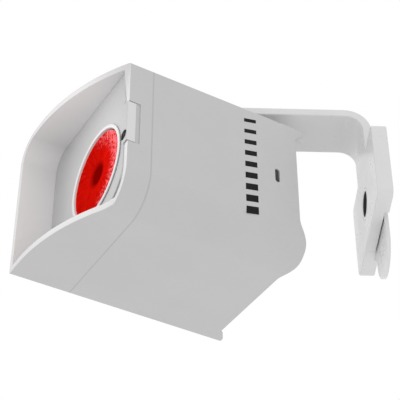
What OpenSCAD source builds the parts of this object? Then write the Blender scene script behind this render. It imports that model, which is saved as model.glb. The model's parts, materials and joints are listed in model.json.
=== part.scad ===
// Garage door opener: a hooded optical receiver that hangs from a swivelling wall bracket.
// Frame: the wall is the plane X = 0, the device reaches out along -X, and +Z is up.
// The origin is on the hub axis, at the back face of the wall plate.

/* [Housing] */
// Width of the housing, from its near side to its far side
housing_w = 55.5; // [50:0.5:70]
// Height of the housing
housing_h = 54; // [50:0.5:70]
// Length of the housing's short side wall, front edge to rear edge
housing_l = 63; // [60:0.5:90]
// Thickness of the moulded walls
wall = 2.1; // [1.6:0.1:2.6]
// Radius of the soft corner between the short wall and the underside
corner_r = 12; // [9:0.5:14]
// Radius of the soft corner between the far wall and the top
far_corner_r = 9; // [7:0.5:12]
// Radius of the two crisp corners of the section
edge_r = 0.6; // [0.5:0.1:1.2]
// How far the hood reaches in front of the short side wall
hood_reach = 12.8; // [8:0.2:20]
// Distance across the housing over which the hood's front edge is curved
hood_curve_w = 42; // [30:1:46]
// How much further across the curve starts at the underside than at the top
hood_slant = 7.6; // [0:0.2:9]
// Distance from the short wall's front edge to the seam between hood and housing
seam_x = 8.4; // [7:0.1:12]
// Length of the lip that joins the hood to the housing
lip_l = 2.4; // [1.5:0.1:4]
// How far the rear corners stand out past the rear edges
ear_l = 3; // [0:0.5:5]
// Height of the short ear at a crisp corner
ear_short = 5.5; // [4:0.5:10]
// Height and width of the long ear that wraps a soft corner
ear_long = 15; // [13:0.5:18]
// Angle of the housing to the arm at rest
housing_yaw = 28.3; // [-60:0.1:60]

/* [Sensor front] */
// Thickness of the sensor panel
panel_t = 2.4; // [1.8:0.1:3.5]
// How far the panel's face stands in front of the short wall's edge
panel_proud = 0.5; // [0:0.1:1.5]
// Radius of the visible red lens
lens_r = 15.3; // [10:0.1:16]
// Lens centre, measured from the outside of the short side wall
lens_s = 20.1; // [19:0.1:28]
// Lens centre, measured up from the underside
lens_z = 21.6; // [21:0.1:28]
// Width of the bezel ring around the lens
bezel_w = 1.3; // [0.8:0.1:1.8]
// Diameter of the small round light sensor
eye_d = 3.7; // [2.6:0.1:3.9]
// Height of the small light sensor above the underside
eye_z = 24.3; // [23:0.1:32]
// Lowest and highest point of the notch in the short wall
notch_low = 20.8; // [18:0.1:22]
notch_high = 37.4; // [33:0.1:42]
// Length of the notch behind the wall's front edge
notch_l = 4.1; // [3.6:0.1:5]
// Depth of the shallow part of the notch, into the wall
notch_sink = 0.4; // [0.3:0.1:1.2]

/* [Learn button] */
// Distance of the button slot in front of the short wall's rear edge
button_inset = 8; // [7.8:0.1:12]
// Height of the slot's centre above the underside
button_z = 29.8; // [24:0.1:34]
// Width of the slot
slot_w = 1.8; // [1.4:0.1:2.4]
// Length of the slot, end to end
slot_l = 5.6; // [4:0.1:8]
// How far the button travels
button_travel = 0.8; // [0.4:0.1:1.2]

/* [Bracket] */
// Distance from the wall to the housing's swivel axis
arm_reach = 69.6; // [65:0.1:120]
// Width of the bent strap
strap_w = 19.5; // [16:0.5:26]
// Thickness of the bent strap
strap_t = 3; // [2:0.1:4]
// Height of the strap's underside above the hub axis
arm_z = 30.8; // [26:0.1:50]
// Inside radius of the strap's bend
bend_r = 6; // [3:0.5:8]
// Gap between the strap and the top of the housing
arm_gap = 6; // [4:0.1:10]
// Width of the hub pad
hub_w = 47; // [30:1:50]
// Reach of the hub pad above the hub axis
hub_above = 15.5; // [12:0.5:18]
// Reach of the hub pad below the hub axis
hub_below = 14; // [12:0.5:18]
// Radius of the hub pad's lower corners
hub_corner_r = 3; // [2:0.5:6]
// Radius of the hub pad's upper corners
hub_upper_r = 2.5; // [1:0.5:5]
// Thickness of the hub pad
hub_t = 5.2; // [4.8:0.1:7]
// How far the bracket swings to each side on its wall plate, in degrees
hub_swing = 12; // [6:1:15]

/* [Wall plate] */
// Width of the wall plate
plate_w = 19; // [18:0.5:26]
// Height of the wall plate
plate_h = 57; // [50:1:64]
// Thickness of the wall plate
plate_t = 1.5; // [1.4:0.1:2]
// Distance between the two wall screw holes
screw_pitch = 40; // [38:0.5:44]
// Diameter of the wall screw holes
screw_hole_d = 4.6; // [4:0.1:5.5]
// Diameter of the open hole through the hub
hub_hole_d = 8.6; // [7:0.1:9]

/* [Fasteners] */
// Diameter of the swivel screw
pivot_d = 5; // [4:0.1:6]
// Diameter of the cover and board screws
small_screw_d = 2.4; // [2:0.1:3]
// Radial clearance of a shaft that turns in its bore
running = 0.05; // [0.02:0.01:0.1]
// Clearance between parts that fit into each other
fit = 0.15; // [0.1:0.01:0.3]

/* [Hidden] */
$fn = 64;
eps = 0.01;

// Housing places, in its own frame: x back along the axis from the short wall's front edge,
// y across with the short wall at -housing_w / 2, z up from the underside.
near_y = -housing_w / 2;
top_z = housing_h;
housing_bottom = arm_z - arm_gap - housing_h;
pivot_x = housing_l / 2;
lens_y = near_y + lens_s;
panel_front = -panel_proud;
panel_back = panel_front + panel_t;
hood_arc_r = (hood_curve_w * hood_curve_w + hood_reach * hood_reach) / (2 * hood_reach);

// Sensor front
bezel_sleeve = 0.7;
bezel_hole_r = lens_r + bezel_sleeve;
bezel_proud = 0.6;
lens_recess = 0.2;
lens_flange_r = bezel_hole_r + 0.9;
lens_flange_t = 0.9;
lens_back = panel_back + lens_flange_t;
gasket_t = 0.8;
eye_depth = 1.6;
tab_l = 3.1;
tab_gap = 0.5;
eye_y = near_y + eye_d / 2 + 0.3;
seat_w = 1.2;
seat_l = 1.5;

// Inside the housing
post_size = 10.5;
board_t = 1.6;
board_x = 28;
cover_t = 2.4;
cover_set_back = 2.6;
cover_gasket_t = 0.8;
cover_x = housing_l - cover_set_back - cover_t;
post_end = cover_x - cover_gasket_t;
post_start = board_x + board_t;
screw_inset = 7.4;
screw_spots = [
    for (side = [-1, 1], z = [screw_inset, housing_h - screw_inset])
        [side * (housing_w / 2 - screw_inset), z]
];
diode_t = 2;
diode_r = 3;
tube_back_r = diode_r + 1;
tube_wall = 0.8;

// Learn button and its switch
button_x = housing_l - button_inset;
slot_recess = 0.5;
button_gap = 0.3;
button_flange = 1;
button_flange_y = near_y + wall + 0.1;
button_tip_l = 0.8;
switch_y = button_flange_y + button_flange + button_tip_l + button_travel + 0.3;
switch_size = 3.6;
switch_h = 2.2;
plunger_h = 0.8;
switch_board_t = 1.2;
switch_board_l = 11;
switch_board_h = 16;
switch_board_x = post_end - 0.2 - switch_board_l;
rail_t = 2.4;
switch_board_y = switch_y + switch_h;

// Cable inlet
grommet_y = 8;
grommet_z = 15;
grommet_hole_r = 5;
grommet_lip = 1.5;
inlet_r = 2.6;

// Housing swivel, from the underside of the strap downwards
swivel_washer_t = 0.9;
face_gap = 0.05;
boss_r = 8;
boss_h = arm_gap - swivel_washer_t - 2 * face_gap;
pivot_r = pivot_d / 2;
washer_t = 1;
spring_t = 1.1;
nut_af = 8;
nut_t = 4;
nut_pad = 2;
nut_low = top_z - wall - nut_pad - nut_t;

// Hub, from the wall outwards
wall_gap = 0.3;
washer_gap = 0.3;
hub_back = -wall_gap;
hub_front = hub_back - hub_t;
hub_seat = -(plate_t + washer_gap);
eyelet_wall = 1.2;
eyelet_r = hub_hole_d / 2 + eyelet_wall;
eyelet_flange_r = eyelet_r + 2;
eyelet_flange_t = 0.6;
eyelet_sink = eyelet_flange_t + 2 * face_gap;
washer_r = 8.5;

// ---- helpers ----

// Places children, drawn in the housing's own frame, where the housing hangs at rest.
module in_housing() {
    translate([-arm_reach, 0, housing_bottom])
        rotate([0, 0, housing_yaw])
            translate([-pivot_x, 0, 0])
                children();
}

// Extrudes a profile drawn in y and z from x = from to x = to.
module along_x(from, to) {
    translate([from, 0, 0])
        rotate([90, 0, 90])
            linear_extrude(to - from)
                children();
}

// The housing's section: a near-square with two soft and two crisp corners.
module section(inset = 0) {
    half = housing_w / 2 - inset;
    low = inset;
    high = housing_h - inset;
    soft = max(corner_r - inset, edge_r);
    far = max(far_corner_r - inset, edge_r);
    crisp = max(edge_r - inset, edge_r / 2);
    polygon([
        [-half + soft, low], [half - crisp, low], [half, low + crisp], [half, high - far],
        [half - far, high], [-half + crisp, high], [-half, high - crisp], [-half, low + soft]
    ]);
    translate([-half + soft, low + soft]) circle(soft);
    translate([half - far, high - far]) circle(far);
    translate([half - crisp, low + crisp]) circle(crisp);
    translate([-half + crisp, high - crisp]) circle(crisp);
}

module section_ring(outer_inset, inner_inset) {
    difference() {
        section(outer_inset);
        section(inner_inset);
    }
}

module rounded_rect(w, h, r) {
    square([w - 2 * r, h], center = true);
    square([w, h - 2 * r], center = true);
    for (x = [-1, 1], y = [-1, 1])
        translate([x * (w / 2 - r), y * (h / 2 - r)])
            circle(r);
}

// A cylinder along +x that starts at the given point of the housing's frame.
module rod_x(x, y, z, r, l) {
    translate([x, y, z])
        rotate([0, 90, 0])
            cylinder(r = r, h = l);
}

module tube_x(x, y, z, r_out, r_in, l) {
    difference() {
        rod_x(x, y, z, r_out, l);
        rod_x(x - 1, y, z, r_in, l + 2);
    }
}

// Space in front of the hood's curved front edge. The cut leans, so that its curve starts
// at the crisp upper corner and, below, only past the soft corner.
module hood_cut() {
    lean = atan(hood_slant / housing_h);
    tall = 2 * housing_h;
    translate([0, near_y + hood_slant, 0])
        rotate([lean, 0, 0])
            translate([0, 0, -tall / 4])
                linear_extrude(tall)
                    difference() {
                        translate([-2 * hood_reach, -2 * hood_slant - 5])
                            square([2 * hood_reach, hood_curve_w + 2 * hood_slant + 5]);
                        translate([hood_arc_r - hood_reach, hood_curve_w])
                            circle(hood_arc_r, $fn = 180);
                    }
}

module panhead_x(x, y, z, head_r, head_t, shank_r, shank_l) {
    difference() {
        rod_x(x, y, z, head_r, head_t);
        for (turn = [0, 90])
            translate([x + head_t - 0.8, y, z])
                rotate([turn, 0, 0])
                    translate([0, -head_r * 0.6, -0.3])
                        cube([1, head_r * 1.2, 0.6]);
    }
    rod_x(x - shank_l, y, z, shank_r, shank_l + eps);
}

// ---- housing shells ----

module front_hood() {
    color("gainsboro") in_housing() {
        difference() {
            along_x(-hood_reach, seam_x) section_ring(0, wall);
            hood_cut();
            // rebate that takes the housing's lip
            along_x(seam_x - lip_l - fit, seam_x + 1) section(wall / 2);
            // notch for the sensor panel's tab, with a shallow end behind it
            translate([-hood_reach, near_y - 1, notch_low])
                cube([hood_reach + panel_front + tab_l + fit, wall + 1 + eps, notch_high - notch_low]);
            translate([0, near_y - 1, notch_low])
                cube([notch_l, notch_sink + 1, notch_high - notch_low]);
        }
        // ledge that the sensor panel rests against
        difference() {
            along_x(panel_back + fit, panel_back + fit + seat_l)
                section_ring(wall - eps, wall + seat_w);
            translate([0, near_y, notch_low - 1])
                cube([seam_x, wall + seat_w + 1, notch_high - notch_low + 2]);
            rod_x(0, lens_y, lens_z, lens_flange_r + fit, seam_x);
        }
    }
}

module main_housing() {
    color("gainsboro") in_housing() {
        difference() {
            union() {
                along_x(seam_x, housing_l) section_ring(0, wall);
                along_x(seam_x - lip_l, seam_x + lip_l) section_ring(wall / 2 + fit / 2, wall);
                rear_ears();
                intersection() {
                    along_x(post_start, post_end) section(wall - eps);
                    for (spot = screw_spots)
                        along_x(post_start, post_end)
                            translate([sign(spot[0]) * (housing_w / 2 - post_size / 2),
                                       spot[1] < housing_h / 2 ? post_size / 2
                                                               : housing_h - post_size / 2])
                                square(post_size, center = true);
                }
                // boss that lifts the strap clear, and the pad under it for the nut
                translate([pivot_x, 0, top_z - eps]) cylinder(r = boss_r, h = boss_h + eps);
                translate([pivot_x, 0, top_z - wall - nut_pad])
                    cylinder(r = boss_r, h = nut_pad + eps);
                switch_rails();
            }
            translate([pivot_x, 0, top_z - wall - nut_pad - 1])
                cylinder(r = pivot_r + running, h = wall + nut_pad + boss_h + 2);
            for (spot = screw_spots)
                rod_x(post_start - 1, spot[0], spot[1], small_screw_d / 2, post_end - post_start + 2);
            button_slot();
        }
    }
}

// Corners that reach past the rear edges, with eased tips.
module rear_ears() {
    intersection() {
        along_x(housing_l - eps, housing_l + ear_l) section_ring(0, wall);
        union() {
            ear(-1, false, ear_long);
            ear(1, true, ear_long);
            ear(-1, true, ear_short);
            ear(1, false, ear_short);
        }
    }
}

// A block at one corner of the rear end that falls away along both walls.
module ear(side, upper, reach) {
    translate([housing_l, side * housing_w / 2, upper ? housing_h : 0])
        mirror([0, side > 0 ? 1 : 0, 0])
            mirror([0, 0, upper ? 1 : 0])
                intersection() {
                    translate([0, 0, -1])
                        linear_extrude(reach + 1) ear_outline(reach);
                    translate([0, reach, 0])
                        rotate([90, 0, 0])
                            linear_extrude(reach + 1) ear_outline(reach);
                }
}

// An ear seen square to one wall: full length at the corner, then an eased fall.
module ear_outline(reach) {
    fall = 0.7 * reach;
    polygon([
        [-1, -1], [ear_l, -1],
        for (turn = [0:15:180])
            [ear_l * (1 + cos(turn)) / 2, reach - fall + fall * turn / 180],
        [-1, reach]
    ]);
}

module button_slot() {
    translate([button_x, near_y - 1, button_z])
        rotate([-90, 0, 0])
            linear_extrude(wall + 2)
                rounded_rect(slot_w, slot_l, slot_w / 2 - eps);
}

// Two rails on the short wall that hold the button board by its long edges.
module switch_rails() {
    for (end = [-1, 1])
        translate([switch_board_x, near_y + wall - eps,
                   button_z + end * (switch_board_h + rail_t) / 2 - rail_t / 2])
            cube([switch_board_l, switch_board_y + switch_board_t - near_y - wall, rail_t]);
}

// ---- sensor front ----

module sensor_panel() {
    color("whitesmoke") in_housing() {
        difference() {
            union() {
                along_x(panel_front, panel_back) section(wall + fit);
                translate([panel_front, near_y, notch_low + fit])
                    cube([panel_t, wall + 2, notch_high - notch_low - tab_gap]);
                translate([panel_front, near_y, notch_low + fit])
                    cube([tab_l, wall - fit, notch_high - notch_low - tab_gap]);
            }
            rod_x(panel_front - 1, lens_y, lens_z, bezel_hole_r, panel_t + 2);
            rod_x(panel_front - eps, eye_y, eye_z, eye_d / 2, eye_depth);
        }
    }
}

module lens_bezel() {
    color("silver") in_housing() {
        tube_x(panel_front - bezel_proud, lens_y, lens_z, lens_r + bezel_w, lens_r, bezel_proud);
        tube_x(panel_front - eps, lens_y, lens_z, bezel_hole_r - 0.02, lens_r, panel_t + eps);
    }
}

module lens() {
    color("red") in_housing() {
        rod_x(panel_front + lens_recess, lens_y, lens_z, lens_r - 0.05,
              lens_back - panel_front - lens_recess);
        rod_x(panel_back + 0.02, lens_y, lens_z, lens_flange_r, lens_flange_t - 0.02);
    }
}

module lens_gasket() {
    color("dimgray") in_housing()
        tube_x(lens_back + 0.02, lens_y, lens_z, lens_flange_r, lens_r - 1, gasket_t);
}

// Black cone that keeps stray light off the photodiode.
module light_tube() {
    front = lens_back + gasket_t + 0.05;
    back = board_x - 0.1;
    color("black") in_housing()
        translate([front, lens_y, lens_z])
            rotate([0, 90, 0])
                rotate_extrude()
                    polygon([
                        [lens_r - 1, 0], [lens_flange_r, 0],
                        [lens_flange_r, 1],
                        [lens_r - 1 + tube_wall, 1],
                        [tube_back_r + tube_wall, back - front], [tube_back_r, back - front]
                    ]);
}

module photodiode() {
    color("midnightblue") in_housing() {
        rod_x(board_x - diode_t, lens_y, lens_z, diode_r, diode_t);
        rod_x(board_x - diode_t - 0.4, lens_y, lens_z, diode_r * 0.6, 0.4 + eps);
    }
}

module light_eye() {
    color("black") in_housing()
        rod_x(panel_front + 0.1, eye_y, eye_z, eye_d / 2 - 0.02, eye_depth - 0.15);
}

// ---- electronics ----

module main_board() {
    color("darkgreen") in_housing()
        difference() {
            along_x(board_x, board_x + board_t) section(wall + 0.4);
            // clear of the swivel screw's pad and nut
            translate([board_x - 1, -boss_r - 0.4, nut_low - 1.5])
                cube([board_t + 2, 2 * (boss_r + 0.4), top_z - nut_low]);
            for (spot = screw_spots)
                rod_x(board_x - 1, spot[0], spot[1], small_screw_d / 2 + fit, board_t + 2);
        }
}

module board_screws() {
    color("silver") in_housing()
        for (spot = screw_spots)
            mirror([1, 0, 0])
                panhead_x(-board_x, spot[0], spot[1], small_screw_d, 1.6, small_screw_d / 2 - 0.02, 7);
}

module processor() {
    body = 8;
    color("black") in_housing() {
        translate([board_x + board_t, lens_y - body / 2, lens_z - body / 2]) cube([1.4, body, body]);
        for (side = [-1, 1], pin = [-3:3])
            translate([board_x + board_t, lens_y + side * (body / 2 + 0.5) - 0.51, lens_z + pin - 0.2])
                cube([0.3, 1.02, 0.4]);
    }
}

module relay() {
    color("royalblue") in_housing()
        translate([board_x + board_t, 0, housing_h - wall - 22])
            cube([15, 15, 12]);
}

module terminal_block() {
    ways = 4;
    pitch = 3.5;
    color("seagreen") in_housing()
        difference() {
            translate([board_x + board_t, housing_w / 2 - wall - 24, 5])
                cube([9, ways * pitch, 8]);
            for (way = [0:ways - 1])
                translate([board_x + board_t + 4.5,
                           housing_w / 2 - wall - 24 + (way + 0.5) * pitch, 9])
                    rotate([0, 90, 0])
                        cylinder(r = 1.1, h = 6);
        }
}

module capacitor() {
    color("navy") in_housing() {
        rod_x(board_x + board_t, near_y + wall + 7, housing_h / 2 + 11, 3.2, 11);
        rod_x(board_x + board_t, near_y + wall + 7, housing_h / 2 + 11, 3.4, 1.2);
    }
}

module antenna() {
    color("goldenrod") in_housing() {
        rod_x(board_x + board_t, housing_w / 2 - wall - 5, housing_h / 2 + 4, 0.5,
              post_end - post_start - 3);
        rod_x(board_x + board_t, housing_w / 2 - wall - 5, housing_h / 2 + 4, 1.4, 2);
    }
}

module button_board() {
    color("darkgreen") in_housing()
        translate([switch_board_x, switch_board_y, button_z - switch_board_h / 2 + eps])
            cube([switch_board_l, switch_board_t, switch_board_h - 2 * eps]);
}

module tact_switch() {
    color("dimgray") in_housing() {
        translate([button_x - switch_size / 2, switch_y + plunger_h, button_z - switch_size / 2])
            cube([switch_size, switch_h - plunger_h, switch_size]);
        translate([button_x, switch_y + plunger_h + eps, button_z])
            rotate([90, 0, 0])
                cylinder(r = 1.1, h = plunger_h);
    }
}

// Slim bar in the slot, with a flange behind the wall and a tip that meets the switch.
module learn_button() {
    color("black") in_housing() {
        translate([button_x, near_y + slot_recess, button_z])
            rotate([-90, 0, 0])
                linear_extrude(button_flange_y - near_y - slot_recess + eps)
                    rounded_rect(slot_w - 2 * button_gap, slot_l - 2 * button_gap,
                                 slot_w / 2 - button_gap - eps);
        translate([button_x, button_flange_y, button_z])
            rotate([-90, 0, 0])
                linear_extrude(button_flange)
                    rounded_rect(slot_w + 1.4, slot_l + 1.4, 0.8);
        translate([button_x, button_flange_y + button_flange - eps, button_z])
            rotate([-90, 0, 0])
                cylinder(r = 1.2, h = button_tip_l);
    }
}

// ---- rear closure ----

module rear_gasket() {
    color("dimgray") in_housing()
        difference() {
            along_x(post_end, cover_x) section_ring(wall + fit, wall + 2.4);
            for (spot = screw_spots)
                rod_x(post_end - 1, spot[0], spot[1], small_screw_d / 2 + fit, 3);
        }
}

module rear_cover() {
    color("gainsboro") in_housing()
        difference() {
            along_x(cover_x, cover_x + cover_t) section(wall + fit);
            for (spot = screw_spots) {
                rod_x(cover_x - 1, spot[0], spot[1], small_screw_d / 2 + fit, cover_t + 2);
                rod_x(cover_x + cover_t - 0.9, spot[0], spot[1], small_screw_d + 0.4, 2);
            }
            rod_x(cover_x - 1, grommet_y, grommet_z, grommet_hole_r, cover_t + 2);
        }
}

module cover_screws() {
    color("silver") in_housing()
        for (spot = screw_spots)
            panhead_x(cover_x + cover_t - 0.9, spot[0], spot[1], small_screw_d, 1.5,
                      small_screw_d / 2 - 0.02, 12);
}

module cable_grommet() {
    color("black") in_housing()
        difference() {
            union() {
                rod_x(cover_x - grommet_lip, grommet_y, grommet_z, grommet_hole_r + 1.2, grommet_lip - 0.02);
                rod_x(cover_x - 0.1, grommet_y, grommet_z, grommet_hole_r - 0.02, cover_t + 0.2);
                rod_x(cover_x + cover_t + 0.02, grommet_y, grommet_z, grommet_hole_r + 1.2, grommet_lip);
            }
            rod_x(cover_x - grommet_lip - 1, grommet_y, grommet_z, inlet_r, cover_t + 2 * grommet_lip + 2);
        }
}

// ---- housing swivel ----

// Stacks children at a height above the strap's underside, on the swivel axis.
module on_pivot(height) {
    translate([-arm_reach, 0, arm_z + height]) children();
}

module ring(r_out, r_in, h) {
    difference() {
        cylinder(r = r_out, h = h);
        translate([0, 0, -1]) cylinder(r = r_in, h = h + 2);
    }
}

module pivot_screw() {
    head_t = 3;
    head_low = strap_t + face_gap + washer_t + spring_t;
    shank_low = -arm_gap - wall - nut_pad - nut_t - 1;
    color("silver") {
        on_pivot(head_low)
            difference() {
                cylinder(r = pivot_d * 0.88, h = head_t);
                translate([0, 0, head_t - 1.8]) cylinder(r = pivot_d * 0.32, h = 2, $fn = 6);
            }
        on_pivot(shank_low) cylinder(r = pivot_r, h = head_low - shank_low + eps);
    }
}

module pivot_washer() {
    color("silver")
        on_pivot(strap_t + face_gap) ring(pivot_d, pivot_r + running, washer_t - eps);
}

module spring_washer() {
    color("silver")
        on_pivot(strap_t + face_gap + washer_t)
            difference() {
                ring(pivot_d * 0.85, pivot_r + running, spring_t - eps);
                rotate([0, 0, 200]) translate([0, -0.4, -1]) cube([pivot_d, 0.8, spring_t + 2]);
            }
}

module pivot_nut() {
    color("silver")
        on_pivot(-arm_gap - wall - nut_pad - nut_t - eps)
            rotate([0, 0, housing_yaw])
                difference() {
                    cylinder(r = nut_af / sqrt(3), h = nut_t, $fn = 6);
                    translate([0, 0, -1]) cylinder(r = pivot_r + eps, h = nut_t + 2);
                }
}

module swivel_washer() {
    color("ivory")
        on_pivot(-face_gap - swivel_washer_t)
            ring(boss_r, pivot_r + running, swivel_washer_t);
}

// ---- bracket ----

// Bent strap with a rounded end over the housing and a thicker pad round the hub.
module bracket_arm() {
    centre_x = hub_front - bend_r;
    centre_z = arm_z - bend_r;
    outer_r = bend_r + strap_t;
    color("whitesmoke")
        difference() {
            union() {
                translate([-arm_reach, 0, arm_z]) cylinder(r = strap_w / 2, h = strap_t);
                translate([0, strap_w / 2, 0])
                    rotate([90, 0, 0])
                        linear_extrude(strap_w) {
                            translate([-arm_reach, arm_z])
                                square([arm_reach + centre_x, strap_t]);
                            translate([hub_front, 0]) square([strap_t, centre_z]);
                            intersection() {
                                translate([centre_x, centre_z])
                                    difference() {
                                        circle(outer_r);
                                        circle(bend_r);
                                    }
                                translate([centre_x, centre_z]) square(outer_r + 1);
                            }
                        }
                along_x(hub_front, hub_back) hub_outline();
            }
            translate([-arm_reach, 0, arm_z - 1]) cylinder(r = pivot_r + running, h = strap_t + 2);
            rod_x(hub_front - 1, 0, 0, eyelet_r, hub_t + 2);
            along_x(hub_seat, 1) plate_channel();
        }
}

// Channel in the pad's back: the wall plate lies in it with room to swing.
module plate_channel() {
    far = 2 * hub_above;
    waist = plate_w / 2 / cos(hub_swing) + 0.4;
    flare = waist + far * tan(hub_swing);
    polygon([
        [-waist, 0], [-flare, far], [flare, far], [waist, 0], [flare, -far], [-flare, -far]
    ]);
}

// The pad's outline: crisp above, softer below.
module hub_outline() {
    half = hub_w / 2;
    polygon([
        [-half + hub_corner_r, -hub_below], [half - hub_corner_r, -hub_below],
        [half, -hub_below + hub_corner_r], [half, hub_above - hub_upper_r],
        [half - hub_upper_r, hub_above], [-half + hub_upper_r, hub_above],
        [-half, hub_above - hub_upper_r], [-half, -hub_below + hub_corner_r]
    ]);
    for (side = [-1, 1]) {
        translate([side * (half - hub_corner_r), hub_corner_r - hub_below]) circle(hub_corner_r);
        translate([side * (half - hub_upper_r), hub_above - hub_upper_r]) circle(hub_upper_r);
    }
}

// Hollow rivet: fast in the hub pad, it turns in the wall plate and leaves a hole through.
module hub_eyelet() {
    back = -face_gap;
    color("silver")
        difference() {
            union() {
                rod_x(back - eyelet_flange_t, 0, 0, eyelet_flange_r, eyelet_flange_t);
                rod_x(hub_front, 0, 0, eyelet_r, back - hub_front);
            }
            rod_x(hub_front - 1, 0, 0, hub_hole_d / 2, 2 - hub_front);
        }
}

module friction_washer() {
    color("dimgray")
        tube_x(hub_seat + face_gap, 0, 0, washer_r, eyelet_r + running, washer_gap - 2 * face_gap);
}

module wall_plate() {
    color("gainsboro")
        difference() {
            along_x(-plate_t, 0) rounded_rect(plate_w, plate_h, plate_w / 2 - eps);
            for (side = [-1, 1])
                rod_x(-plate_t - 1, 0, side * screw_pitch / 2, screw_hole_d / 2, plate_t + 2);
            rod_x(-plate_t - 1, 0, 0, eyelet_r + running, plate_t + 2);
            rod_x(-eyelet_sink, 0, 0, eyelet_flange_r + 2 * fit, eyelet_sink + 1);
        }
}

front_hood();
main_housing();
sensor_panel();
lens();
lens_bezel();
lens_gasket();
light_tube();
photodiode();
light_eye();
main_board();
processor();
relay();
terminal_block();
capacitor();
antenna();
board_screws();
button_board();
tact_switch();
learn_button();
rear_gasket();
rear_cover();
cover_screws();
cable_grommet();
pivot_screw();
pivot_washer();
spring_washer();
pivot_nut();
swivel_washer();
bracket_arm();
hub_eyelet();
friction_washer();
wall_plate();
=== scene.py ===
"""Looks of the garage door opener's optical receiver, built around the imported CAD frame."""

import json
import math

import bmesh
import bpy
from mathutils import Matrix, Vector


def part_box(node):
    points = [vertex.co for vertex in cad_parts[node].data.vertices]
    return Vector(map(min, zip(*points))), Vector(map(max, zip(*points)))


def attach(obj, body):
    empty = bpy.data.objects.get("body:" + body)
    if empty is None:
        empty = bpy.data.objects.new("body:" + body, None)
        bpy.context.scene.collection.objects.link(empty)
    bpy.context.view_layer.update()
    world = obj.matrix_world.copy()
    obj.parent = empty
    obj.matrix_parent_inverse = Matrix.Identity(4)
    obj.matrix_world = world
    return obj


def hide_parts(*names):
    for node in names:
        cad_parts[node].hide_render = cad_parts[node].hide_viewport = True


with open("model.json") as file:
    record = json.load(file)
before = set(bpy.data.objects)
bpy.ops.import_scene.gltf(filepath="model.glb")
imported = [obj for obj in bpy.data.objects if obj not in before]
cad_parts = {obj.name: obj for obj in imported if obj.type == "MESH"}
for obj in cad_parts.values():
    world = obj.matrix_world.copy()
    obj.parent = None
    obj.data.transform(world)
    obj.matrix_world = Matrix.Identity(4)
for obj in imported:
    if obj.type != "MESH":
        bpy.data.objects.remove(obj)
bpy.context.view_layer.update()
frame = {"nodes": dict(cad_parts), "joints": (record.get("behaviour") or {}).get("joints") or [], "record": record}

MM = 0.001
NODES = frame["nodes"]
JOINTS = {joint["name"]: joint for joint in frame["joints"]}
BODY_OF = {
    node: body
    for body, members in frame["record"]["behaviour"]["bodies"].items()
    for node in members
}
SLOT_OF = {part["node"]: part["material_slot"] for part in frame["record"]["subparts"]}

# The housing's own directions: across (away from the short wall), back (hood to rear) and up.
UP = Vector((0, 0, 1))
ACROSS = Vector(JOINTS["learn_press"]["axis"])
BACK = ACROSS.cross(UP)
PIVOT = Vector(JOINTS["housing_swivel"]["pos_m"])


# ---- places in the frame ----


def centre_of(node):
    low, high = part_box(node)
    return (low + high) / 2


def extent_along(node, direction):
    """Lowest and highest reach of a CAD node along a direction, measured from the origin."""
    reach = [vertex.co.dot(direction) for vertex in NODES[node].data.vertices]
    return min(reach), max(reach)


def front_disc(node):
    """Front centre, radius and depth of a round node that faces out of the hood."""
    centre = centre_of(node)
    front, rear = extent_along(node, BACK)
    bottom, top = extent_along(node, UP)
    return centre + BACK * (front - centre.dot(BACK)), (top - bottom) / 2, rear - front


def housing_matrix(origin):
    """Axes for a piece on the housing: x across, y up, z out of the front."""
    out = -BACK
    columns = Matrix((UP.cross(out), UP, out)).transposed().to_4x4()
    return Matrix.Translation(origin) @ columns


LENS_FRONT, LENS_FLANGE_RADIUS, LENS_DEPTH = front_disc("lens")
# The flange behind the panel reaches this far past the lens's body.
LENS_FLANGE_STEP = 1.85 * MM
LENS_RADIUS = LENS_FLANGE_RADIUS - LENS_FLANGE_STEP
# Radius of the dished spot, as a share of the body's
LENS_SPOT = 0.28


# ---- materials ----

# Sockets of a Mix node that mixes colours
MIX_FIRST = 6
MIX_SECOND = 7
MIX_RESULT = 2


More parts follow.
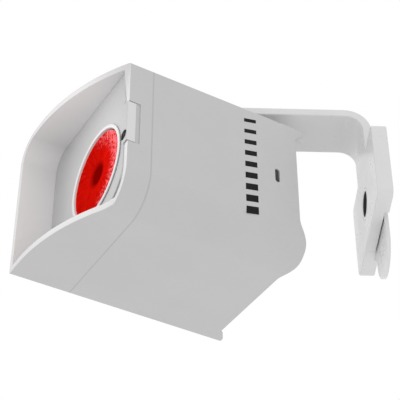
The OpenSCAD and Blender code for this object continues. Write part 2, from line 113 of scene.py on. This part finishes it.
class Look:
    """A Principled material with short calls for the nodes that give it its detail."""

    def __init__(self, name, color, roughness, metallic=0.0, coat=0.0, specular=0.5):
        self.material = bpy.data.materials.new(name)
        self.material.use_nodes = True
        self.material.diffuse_color = (*color, 1)
        self.tree = self.material.node_tree
        self.shader = self.tree.nodes["Principled BSDF"]
        self.color = color
        self.roughness = roughness
        self.shader.inputs["Base Color"].default_value = (*color, 1)
        self.shader.inputs["Roughness"].default_value = roughness
        self.shader.inputs["Metallic"].default_value = metallic
        self.shader.inputs["Coat Weight"].default_value = coat
        self.shader.inputs["Coat Roughness"].default_value = 0.12
        self.shader.inputs["Specular IOR Level"].default_value = specular
        texture = self.node("ShaderNodeTexCoord")
        self.coordinates = texture.outputs["Object"]
        self.facing = texture.outputs["Normal"]
        self.base = None
        self.normal = None

    def node(self, kind, **values):
        made = self.tree.nodes.new(kind)
        for key, value in values.items():
            setattr(made, key, value)
        return made

    def link(self, output, target):
        self.tree.links.new(output, target)

    def calc(self, operation, *values):
        """A Math node on numbers and sockets."""
        made = self.node("ShaderNodeMath", operation=operation)
        for socket, value in zip(made.inputs, values):
            if isinstance(value, (int, float)):
                socket.default_value = value
            else:
                self.link(value, socket)
        return made.outputs["Value"]

    def along(self, vector, direction):
        """Reach of a vector along a direction."""
        made = self.node("ShaderNodeVectorMath", operation="DOT_PRODUCT")
        made.inputs[1].default_value = direction
        self.link(vector, made.inputs[0])
        return made.outputs["Value"]

    def pair(self, x, y):
        made = self.node("ShaderNodeCombineXYZ")
        self.link(x, made.inputs["X"])
        self.link(y, made.inputs["Y"])
        return made.outputs["Vector"]

    def stretched(self, scale):
        mapping = self.node("ShaderNodeMapping")
        mapping.inputs["Scale"].default_value = scale
        self.link(self.coordinates, mapping.inputs["Vector"])
        return mapping.outputs["Vector"]

    def noise(self, scale, detail, vector=None, rough=0.5):
        made = self.node("ShaderNodeTexNoise")
        made.inputs["Scale"].default_value = scale
        made.inputs["Detail"].default_value = detail
        made.inputs["Roughness"].default_value = rough
        self.link(self.coordinates if vector is None else vector, made.inputs["Vector"])
        return made.outputs["Fac"]

    def ranged(self, value, low, high, source=(0.3, 0.7)):
        made = self.node("ShaderNodeMapRange")
        made.inputs["From Min"].default_value = source[0]
        made.inputs["From Max"].default_value = source[1]
        made.inputs["To Min"].default_value = low
        made.inputs["To Max"].default_value = high
        self.link(value, made.inputs["Value"])
        return made.outputs["Result"]

    def mixed(self, factor, first, second):
        made = self.node("ShaderNodeMix", data_type="RGBA")
        self.link(factor, made.inputs["Factor"])
        for place, color in ((MIX_FIRST, first), (MIX_SECOND, second)):
            if isinstance(color, tuple):
                made.inputs[place].default_value = (*color, 1)
            else:
                self.link(color, made.inputs[place])
        return made.outputs[MIX_RESULT]

    def paint(self, base):
        self.base = base
        self.link(base, self.shader.inputs["Base Color"])
        return self

    def tint(self, amount, scale):
        """Cloudy lightening and darkening of the base colour."""
        low = tuple(c * (1 - amount) for c in self.color)
        high = tuple(min(1.0, c * (1 + amount)) for c in self.color)
        clouds = self.ranged(self.noise(scale, detail=4.0), 0.0, 1.0)
        return self.paint(self.mixed(clouds, low, high))

    def painted_shade_by_facing(self, direction, color):
        """Another base colour on the faces that look in one direction: painted light and shade, set by which way a
        face looks.
        """
        turned_to = self.along(self.facing, direction)
        mask = self.ranged(turned_to, 0.0, 1.0, source=(0.85, 0.95))
        return self.paint(self.mixed(mask, self.base, color))

    def ring_tint(self, direction, place, half_width, color):
        """Another base colour in a narrow ring square to one direction."""
        offset = self.calc("SUBTRACT", self.along(self.coordinates, direction), place)
        distance = self.calc("ABSOLUTE", offset)
        mask = self.ranged(distance, 1.0, 0.0, source=(half_width / 2, half_width))
        return self.paint(self.mixed(mask, self.base, color))

    def sheen_spread(self, amount, scale):
        """Uneven roughness."""
        clouds = self.noise(scale, detail=5.0)
        spread = self.ranged(clouds, self.roughness - amount, self.roughness + amount)
        self.link(spread, self.shader.inputs["Roughness"])
        return self

    def relief(self, height, strength, distance):
        """Bumps from a height; calls add up."""
        made = self.node("ShaderNodeBump")
        made.inputs["Strength"].default_value = strength
        made.inputs["Distance"].default_value = distance
        self.link(height, made.inputs["Height"])
        if self.normal is not None:
            self.link(self.normal, made.inputs["Normal"])
        self.normal = made.outputs["Normal"]
        self.link(self.normal, self.shader.inputs["Normal"])
        return self

    def grain(self, scale, strength, distance, detail=2.0, vector=None):
        """Fine noisy relief."""
        return self.relief(self.noise(scale, detail, vector), strength, distance)


def moulded_look(name, color, roughness, grain, coat=0.0):
    """Injection-moulded plastic: faint flow clouds and spark-eroded grain."""
    look = Look(name, color, roughness, coat=coat)
    look.tint(amount=0.018, scale=45).sheen_spread(amount=0.05, scale=160)
    return look.grain(scale=5200, strength=grain, distance=0.00003)


def moulded(name, color, roughness, grain=0.35, coat=0.0):
    look = moulded_look(name, color, roughness, grain, coat)
    look.grain(scale=900, strength=grain * 0.35, distance=0.00004)
    return look.material


def shell_plastic(name):
    """Shell plastic, with the fine dark line of the seam between hood and housing."""
    look = moulded_look(name, (0.54, 0.532, 0.532), 0.5, grain=0.35)
    look.grain(scale=900, strength=0.12, distance=0.00004)
    seam = extent_along("front_hood", BACK)[1]
    look.ring_tint(BACK, seam, half_width=0.34 * MM, color=(0.47, 0.463, 0.463))
    return look.material


def panel_plastic(name):
    """Smooth plastic, with a dark base colour as painted shade for the shadow inside the hood; faces that look out
    of the short wall, such as the tab flush in it, get a lighter colour, so the tab reads lighter than the wall
    around it.
    """
    # Dark base colour: painted shade on the panel inside the hood.
    look = moulded_look(name, (0.37, 0.366, 0.366), 0.42, grain=0.15)
    # Faces that look out of the short wall get the lighter, unshaded colour: painted light and shade by facing.
    look.painted_shade_by_facing(-ACROSS, (0.68, 0.675, 0.675))
    return look.material


def powder_coated(name, color):
    look = Look(name, color, 0.32, coat=0.2)
    look.tint(amount=0.02, scale=60).sheen_spread(amount=0.06, scale=220)
    look.grain(scale=1500, strength=0.04, distance=0.00004, detail=1.0)
    look.grain(scale=6000, strength=0.03, distance=0.00001)
    return look.material


def zinc_steel(name):
    look = Look(name, (0.62, 0.62, 0.6), 0.32, metallic=1.0)
    look.tint(amount=0.08, scale=500).sheen_spread(amount=0.08, scale=900)
    look.grain(scale=2500, strength=0.2, distance=0.00002, vector=look.stretched((1, 1, 6)))
    return look.material


def soft_rubber(name):
    look = Look(name, (0.018, 0.018, 0.019), 0.7)
    look.tint(amount=0.2, scale=300).sheen_spread(amount=0.08, scale=600)
    look.grain(scale=3500, strength=0.3, distance=0.00003)
    return look.material


def shrink_sleeve(name):
    """Glossy dark blue sleeve of the capacitor."""
    look = Look(name, (0.01, 0.012, 0.07), 0.2, coat=0.1, specular=0.3)
    look.tint(amount=0.15, scale=400).sheen_spread(amount=0.03, scale=700)
    look.grain(scale=900, strength=0.06, distance=0.00002)
    return look.material


def sensor_window(name):
    look = Look(name, (0.003, 0.003, 0.006), 0.3, specular=0.08)
    look.tint(amount=0.2, scale=500).sheen_spread(amount=0.04, scale=800)
    look.grain(scale=2500, strength=0.05, distance=0.00001)
    return look.material


def solder_mask(name):
    """Green circuit board with a faint pattern of tracks."""
    look = Look(name, (0.012, 0.11, 0.035), 0.3, coat=0.3)
    tracks = look.node("ShaderNodeTexBrick")
    tracks.inputs["Scale"].default_value = 260
    tracks.inputs["Mortar Size"].default_value = 0.03
    tracks.inputs["Color1"].default_value = (0.012, 0.11, 0.035, 1)
    tracks.inputs["Color2"].default_value = (0.015, 0.13, 0.04, 1)
    tracks.inputs["Mortar"].default_value = (0.03, 0.2, 0.07, 1)
    look.link(look.coordinates, tracks.inputs["Vector"])
    look.paint(tracks.outputs["Color"])
    look.relief(tracks.outputs["Fac"], strength=0.2, distance=0.00004)
    return look.material


def brass_wire(name):
    look = Look(name, (0.7, 0.5, 0.2), 0.28, metallic=1.0)
    look.tint(amount=0.1, scale=700).sheen_spread(amount=0.08, scale=900)
    look.grain(scale=3000, strength=0.2, distance=0.00002)
    return look.material


def printed_ink(name):
    look = Look(name, (0.006, 0.006, 0.007), 0.5, specular=0.12)
    look.tint(amount=0.3, scale=900).sheen_spread(amount=0.06, scale=1200)
    look.grain(scale=4200, strength=0.25, distance=0.00002)
    return look.material


def prismatic_red(name):
    """Red lens: dark spot, radial streaks, and painted glints, pink painted highlights towards the rim beside the
    short wall.
    """
    deep_red = (0.3, 0.001, 0.0)
    clear_red = (0.52, 0.006, 0.003)
    painted_glint_pink = (0.66, 0.13, 0.14)
    spot_red = (0.09, 0.0, 0.0)
    look = Look(name, (0.45, 0.004, 0.002), 0.3, specular=0.0)
    split = look.node("ShaderNodeSeparateXYZ")
    look.link(look.coordinates, split.inputs["Vector"])
    x = split.outputs["X"]
    y = split.outputs["Y"]
    squares = look.calc("ADD", look.calc("MULTIPLY", x, x), look.calc("MULTIPLY", y, y))
    distance = look.calc("DIVIDE", look.calc("SQRT", squares), LENS_RADIUS)
    turn = look.calc("ARCTAN2", y, x)

    def around(per_turn, per_radius):
        """Polar coordinates, stretched by how often a pattern changes each way."""
        return look.pair(
            look.calc("MULTIPLY", turn, per_turn), look.calc("MULTIPLY", distance, per_radius)
        )

    streaks = look.noise(scale=1.0, detail=4.0, vector=around(16.0, 3.0), rough=0.65)
    mosaic = look.noise(scale=1.0, detail=2.0, vector=around(14.0, 11.0))
    # Pink glints in a mosaic towards the rim beside the short wall: painted highlights.
    glints = look.ranged(mosaic, 0.0, 1.0, source=(0.38, 0.62))
    rim = look.ranged(distance, 0.0, 1.0, source=(0.5, 0.9))
    lean = look.ranged(x, 0.0, 1.0, source=(-LENS_RADIUS * 0.35, LENS_RADIUS * 0.9))
    bright = look.calc("MULTIPLY", look.calc("MULTIPLY", rim, lean), glints)
    depth = look.mixed(look.ranged(streaks, 0.0, 1.0), deep_red, clear_red)
    body = look.mixed(look.ranged(bright, 0.0, 1.0, source=(0.1, 0.5)), depth, painted_glint_pink)
    spot = look.ranged(distance, 1.0, 0.0, source=(LENS_SPOT * 0.72, LENS_SPOT * 1.25))
    flecks = look.calc("MULTIPLY", spot, look.ranged(streaks, 0.75, 1.0))
    look.paint(look.mixed(flecks, body, spot_red))
    look.relief(streaks, strength=0.35, distance=0.0003)
    return look.material


# One material for each of the CAD's material slots
MATERIALS = {
    "shell": shell_plastic("shell_plastic"),
    "panel": panel_plastic("panel_plastic"),
    "bezel": moulded("bezel_plastic", (0.52, 0.515, 0.515), 0.35, grain=0.12),
    "black_plastic": moulded("black_plastic", (0.015, 0.015, 0.016), 0.45),
    "relay_case": moulded("relay_plastic", (0.02, 0.08, 0.34), 0.3, grain=0.1, coat=0.3),
    "terminal_case": moulded("terminal_plastic", (0.02, 0.24, 0.1), 0.4),
    "capacitor_can": shrink_sleeve("capacitor_sleeve"),
    "button": moulded("button_plastic", (0.012, 0.012, 0.014), 0.4),
    "nylon": moulded("nylon", (0.72, 0.7, 0.62), 0.4),
    "bracket": powder_coated("bracket_coat", (0.69, 0.69, 0.69)),
    "eyelet": powder_coated("eyelet_coat", (0.67, 0.67, 0.67)),
    "wall_plate": powder_coated("wall_plate_coat", (0.7, 0.7, 0.7)),
    "rubber": soft_rubber("rubber"),
    "sensor": sensor_window("sensor_window"),
    "board": solder_mask("circuit_board"),
    "antenna_wire": brass_wire("antenna_brass"),
    "steel": zinc_steel("zinc_steel"),
    "lens": prismatic_red("lens_red"),
}

for node, obj in NODES.items():
    obj.data.materials.clear()
    obj.data.materials.append(MATERIALS[SLOT_OF[node]])


# ---- making objects ----


def added(name, data):
    obj = bpy.data.objects.new(name, data)
    bpy.context.scene.collection.objects.link(obj)
    return obj


def mesh_object(name, shape):
    mesh = bpy.data.meshes.new(name)
    shape.to_mesh(mesh)
    shape.free()
    return added(name, mesh)


def smooth(obj, sharp=math.radians(35)):
    """Smooth faces, with hard edges kept where the surface really turns."""
    for polygon in obj.data.polygons:
        polygon.use_smooth = True
    obj.data.set_sharp_from_angle(angle=sharp)
    weighted = obj.modifiers.new("weighted", "WEIGHTED_NORMAL")
    weighted.keep_sharp = True


def stand_for(obj, node):
    """Let a piece take a CAD node's place, on the node's body."""
    obj.data.materials.clear()
    obj.data.materials.append(MATERIALS[SLOT_OF[node]])
    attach(obj, BODY_OF[node])
    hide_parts(node)


# ---- pieces made from the CAD shapes ----

WELD_DISTANCE = 0.002 * MM
FLAT_ANGLE = math.radians(0.4)
BEVEL_ANGLE = math.radians(40)
BEVEL_SEGMENTS = 3


def apply_modifiers(obj):
    depsgraph = bpy.context.evaluated_depsgraph_get()
    made = bpy.data.meshes.new_from_object(obj.evaluated_get(depsgraph))
    obj.modifiers.clear()
    obj.data = made


def dressed(node, bevel):
    """A copy of a CAD node's shape with welded faces and rounded edges, which stands for it."""
    shape = bmesh.new()
    shape.from_mesh(NODES[node].data)
    bmesh.ops.remove_doubles(shape, verts=shape.verts, dist=WELD_DISTANCE)
    bmesh.ops.dissolve_limit(
        shape, angle_limit=FLAT_ANGLE, verts=shape.verts, edges=shape.edges
    )
    obj = mesh_object(node + "_piece", shape)
    rounding = obj.modifiers.new("bevel", "BEVEL")
    rounding.width = bevel
    rounding.segments = BEVEL_SEGMENTS
    rounding.limit_method = "ANGLE"
    rounding.angle_limit = BEVEL_ANGLE
    rounding.miter_outer = "MITER_ARC"
    apply_modifiers(obj)
    smooth(obj)
    stand_for(obj, node)
    return obj


# Width of the rounded edges, in millimetres
BEVELS = {
    "front_hood": 0.3,
    "main_housing": 0.4,
    "sensor_panel": 0.1,
    "lens_bezel": 0.4,
    "rear_cover": 0.3,
    "cable_grommet": 0.4,
    "learn_button": 0.15,
    "bracket_arm": 0.45,
    "hub_eyelet": 0.35,
    "wall_plate": 0.35,
    "swivel_washer": 0.15,
    "pivot_screw": 0.3,
    "pivot_washer": 0.15,
    "pivot_nut": 0.3,
    "cover_screws": 0.12,
}

pieces = {node: dressed(node, width * MM) for node, width in BEVELS.items()}


def paint_bore_shade(obj):
    """Painted shade inside the hollow rivet: faces that look towards the hub axis get the black rubber material,
    which stands in for the shade in the bore.
    """
    # Black material on the bore's inner faces: painted shade.
    obj.data.materials.append(MATERIALS["rubber"])
    shade_index = len(obj.data.materials) - 1
    for polygon in obj.data.polygons:
        outward = Vector((0, polygon.center.y, polygon.center.z))
        if abs(polygon.normal.x) < 0.5 and polygon.normal.dot(outward) < 0:
            polygon.material_index = shade_index


paint_bore_shade(pieces["hub_eyelet"])


# ---- lens and light eye ----


def turned(name, profile, segments):
    """A closed solid turned about z from (radius, height) points that start and end on the axis."""
    shape = bmesh.new()
    rings = []
    for radius, height in profile:
        if radius == 0:
            rings.append([shape.verts.new((0, 0, height))])
            continue
        rings.append([
            shape.verts.new((radius * math.cos(a), radius * math.sin(a), height))
            for a in (math.tau * step / segments for step in range(segments))
        ])
    for inner, outer in zip(rings, rings[1:]):
        for step in range(segments):
            after = (step + 1) % segments
            corners = [
                inner[step % len(inner)], inner[after % len(inner)],
                outer[after % len(outer)], outer[step % len(outer)],
            ]
            shape.faces.new(list(dict.fromkeys(corners)))
    bmesh.ops.recalc_face_normals(shape, faces=shape.faces)
    return mesh_object(name, shape)


def make_lens():
    """Prismatic lens: a dished spot in the middle and fine ring prisms out to a plain rim."""
    # The flange's front leans a little, so it is thicker where it meets the body.
    flange_front = -LENS_DEPTH + 0.86 * MM
    flange_root = -LENS_DEPTH + 0.88 * MM
    crest = -0.02 * MM
    valley = -0.2 * MM
    prisms_per_radius = 21
    pitch = LENS_RADIUS / prisms_per_radius
    spot = LENS_RADIUS * LENS_SPOT
    rings = int((LENS_RADIUS * 0.95 - spot) / pitch)
    dish = [
        (0, -0.55 * MM), (spot * 0.55, -0.5 * MM), (spot * 0.9, -0.3 * MM), (spot, -0.06 * MM)
    ]
    prisms = []
    for ring in range(rings):
        start = spot + ring * pitch
        prisms += [(start + pitch * 0.12, crest), (start + pitch * 0.95, valley)]
    rim = [
        (LENS_RADIUS * 0.965, 0.0),
        (LENS_RADIUS * 0.995, -0.04 * MM),
        (LENS_RADIUS, -0.2 * MM),
        (LENS_RADIUS, flange_root),
        (LENS_FLANGE_RADIUS, flange_front),
        (LENS_FLANGE_RADIUS, -LENS_DEPTH),
        (0, -LENS_DEPTH),
    ]
    obj = turned("lens_piece", dish + prisms + rim, segments=192)
    obj.matrix_world = housing_matrix(LENS_FRONT)
    smooth(obj, math.radians(25))
    stand_for(obj, "lens")


def make_light_eye():
    """Small black sensor with a domed window."""
    front, radius, depth = front_disc("light_eye")
    window_r = radius * 0.86
    window_rise = 0.3 * MM
    window_foot = -0.32 * MM
    steps = 6
    dome = [
        (window_r * math.sin(a), window_foot + window_rise * math.cos(a))
        for a in (math.pi / 2 * step / steps for step in range(1, steps + 1))
    ]
    rim = [
        (radius * 0.9, -0.12 * MM),
        (radius * 0.97, -0.1 * MM),
        (radius, -0.2 * MM),
        (radius, -depth),
        (0, -depth),
    ]
    profile = [(0, window_foot + window_rise), *dome, *rim]
    obj = turned("light_eye_piece", profile, segments=64)
    obj.matrix_world = housing_matrix(front)
    smooth(obj)
    stand_for(obj, "light_eye")


make_lens()
make_light_eye()


# ---- printed mark on the short wall ----


def make_mark():
    """A plain column of slanted bars, printed where such a housing carries its marking."""
    bars = 9
    width = 4.6 * MM
    slant = 1.1 * MM
    # The bars get shorter from the lowest to the highest.
    lowest_tall = 2.9 * MM
    shrink = 0.18 * MM
    # How far the ink reaches on each side of the wall's face
    ink = 0.04 * MM
    wall_face, _ = extent_along("main_housing", ACROSS)
    rear = extent_along("rear_cover", BACK)[1]
    column = rear - 17.8 * MM
    bottom, top = extent_along("front_hood", UP)
    lowest = bottom + (top - bottom) * 0.2
    step = (top - bottom) * 0.7 / (bars - 1)
    shape = bmesh.new()
    for bar in range(bars):
        tall = lowest_tall - bar * shrink
        base = lowest + bar * step - tall / 2
        outline = [(0, 0), (width, slant), (width, slant + tall), (0, tall)]
        outer, inner = (
            [
                shape.verts.new(
                    BACK * (column + u) + ACROSS * (wall_face + depth) + UP * (base + v)
                )
                for u, v in outline
            ]
            for depth in (-ink, ink)
        )
        shape.faces.new(outer)
        shape.faces.new(inner)
        for corner in range(len(outline)):
            after = (corner + 1) % len(outline)
            shape.faces.new([outer[corner], outer[after], inner[after], inner[corner]])
    bmesh.ops.recalc_face_normals(shape, faces=shape.faces)
    obj = mesh_object("printed_bars", shape)
    obj.data.materials.append(printed_ink("print_black"))
    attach(obj, BODY_OF["main_housing"])


make_mark()


# ---- camera ----

# Sideways and level distances from the swivel axis, and the drop below the hood's lower edge
CAMERA_ASIDE = -3.15 * MM
CAMERA_DISTANCE = 346.9 * MM
CAMERA_UNDER_HOOD = 249.2 * MM
CAMERA_PITCH = math.radians(38.757)
CAMERA_TURN = math.radians(-2.0)
CAMERA_LENS = 120.1


def make_camera():
    data = bpy.data.cameras.new("camera")
    data.lens = CAMERA_LENS
    data.sensor_width = 36
    data.clip_start = 0.01
    camera = added("camera", data)
    camera.location = (
        PIVOT.x + CAMERA_ASIDE,
        PIVOT.y - CAMERA_DISTANCE,
        extent_along("front_hood", UP)[0] - CAMERA_UNDER_HOOD,
    )
    camera.rotation_euler = (math.pi / 2 + CAMERA_PITCH, 0, CAMERA_TURN)
    bpy.context.scene.camera = camera


make_camera()


# ---- floor and light, in metres and watts ----

FLOOR_DROP = 0.62
FLOOR_HALF = 6.0


def make_floor():
    corners = [(-1, -1), (1, -1), (1, 1), (-1, 1)]
    mesh = bpy.data.meshes.new("floor")
    mesh.from_pydata(
        [(x * FLOOR_HALF, y * FLOOR_HALF, -FLOOR_DROP) for x, y in corners], [], [(0, 1, 2, 3)]
    )
    paint = Look("floor_paint", (0.9, 0.9, 0.9), 0.8).tint(amount=0.01, scale=3)
    mesh.materials.append(paint.material)
    added("floor", mesh)


def make_daylight():
    """Even white light from all around."""
    world = bpy.data.worlds.new("studio")
    world.use_nodes = True
    background = world.node_tree.nodes["Background"]
    background.inputs["Color"].default_value = (1, 1, 1, 1)
    background.inputs["Strength"].default_value = 1.0
    bpy.context.scene.world = world
    bpy.context.scene.view_settings.view_transform = "Standard"


def area_light(name, place, target, size, power):
    data = bpy.data.lights.new(name, "AREA")
    data.shape = "DISK"
    data.size = size
    data.energy = power
    light = added(name, data)
    light.visible_camera = False
    light.location = place
    light.rotation_euler = (target - place).to_track_quat("-Z", "Y").to_euler()


def make_lights():
    area_light("key", Vector((-0.9, 0.3, 0.05)), PIVOT, size=0.6, power=2.0)
    hood = centre_of("front_hood")
    before_hood = hood - BACK * 0.035 - ACROSS * 0.02
    area_light("hood_fill", before_hood, hood + ACROSS * 0.02, size=0.04, power=0.013)


make_floor()
make_daylight()
make_lights()
